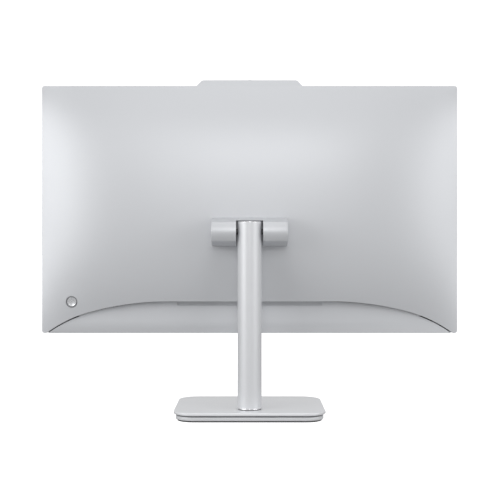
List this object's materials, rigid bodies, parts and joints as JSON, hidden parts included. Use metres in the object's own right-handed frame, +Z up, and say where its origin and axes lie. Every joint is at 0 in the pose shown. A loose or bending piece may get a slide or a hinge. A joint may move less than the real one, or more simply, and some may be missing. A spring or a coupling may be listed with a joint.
{
  "type": "all-in-one computer",
  "caption": "Wide flat all-in-one computer with a domed rear cover, arched port recess and camera hump, tilting on a round post and rectangular base.",
  "frame": {"origin": "on the desk under the middle of the base", "axes": "+Z up, screen faces -Y, +X is towards the power button side"},
  "size_m": [0.6136, 0.1674, 0.4897],
  "materials": {
    "cover_plastic": "satin metallic paint",
    "window_glass": "gloss, printed black border",
    "stand_paint": "satin metallic paint",
    "bright_trim": "turned",
    "dark_plastic": "fine grain",
    "soft_rubber": "matt",
    "button_cap": "satin metallic paint",
    "frame_plastic": "moulded",
    "panel_glass": "polariser",
    "clear_sheet": "clear acrylic and film",
    "thin_steel": "galvanised",
    "light_alloy": "mill",
    "copper": "copper",
    "board_green": "solder mask",
    "chip_black": "epoxy",
    "shell_chrome": "tinned",
    "cable_film": "flat cable"
  },
  "bodies": {
    "stand": {"base_top": "stand_paint", "base_groove": "dark_plastic", "base_lower": "stand_paint", "foot_pad": "soft_rubber", "stand_screw": "thin_steel", "pole_gasket": "soft_rubber", "pole_collar": "bright_trim", "pole_tube": "stand_paint", "pole_cap": "bright_trim", "pole_core": "thin_steel", "pole_knuckle": "thin_steel", "hinge_shaft": "thin_steel", "friction_washers": "thin_steel", "hinge_nuts": "thin_steel"},
    "head": {"aerials": "cable_film", "audio_jack": "dark_plastic", "board_components": "chip_black", "board_posts": "thin_steel", "button_sleeve": "dark_plastic", "button_switch": "board_green", "camera_board": "board_green", "camera_module": "chip_black", "camera_sensors": "dark_plastic", "camera_window": "window_glass", "chassis_plate": "thin_steel", "chassis_screws": "thin_steel", "chin_panel": "cover_plastic", "coin_cell": "shell_chrome", "cold_plate": "light_alloy", "cpu_package": "chip_black", "fan_cover": "light_alloy", "fan_housing": "dark_plastic", "fin_stack": "light_alloy", "front_glass": "window_glass", "heat_pipes": "copper", "hinge_arms": "thin_steel", "hinge_cover": "cover_plastic", "lcd_cell": "panel_glass", "lcd_tray": "light_alloy", "led_bar": "chip_black", "light_guide": "clear_sheet", "lower_rear_cover": "cover_plastic", "mainboard": "board_green", "memory_modules": "chip_black", "mid_frame": "frame_plastic", "network_port": "shell_chrome", "optical_films": "clear_sheet", "plug_in_cards": "chip_black", "power_inlet": "dark_plastic", "rear_cover": "cover_plastic", "ribbon_cables": "cable_film", "speaker_boxes": "dark_plastic", "speaker_drivers": "soft_rubber", "timing_board": "board_green", "usb_ports": "shell_chrome", "usb_tongues": "dark_plastic", "video_port": "shell_chrome"},
    "button": {"power_button": "button_cap"},
    "shutter": {"camera_shutter": "button_cap"},
    "rotor": {"fan_rotor": "dark_plastic"}
  },
  "joints": [
    {"name": "tilt", "type": "hinge", "parent": "stand", "child": "head", "pos_m": [0, 0.0448, 0.2635], "axis": [-1, 0, 0], "range_deg": [-5, 20]},
    {"name": "button_press", "type": "slide", "parent": "head", "child": "button", "axis": [0, -1, 0], "range_m": [0, 0.001], "stiffness_N_per_m": 900},
    {"name": "shutter_slide", "type": "slide", "parent": "head", "child": "shutter", "axis": [1, 0, 0], "range_m": [0, 0.007]},
    {"name": "fan_spin", "type": "hinge", "parent": "head", "child": "rotor", "pos_m": [-0.125, -0.015, 0.374], "axis": [0, 1, 0], "continuous": true}
  ]
}
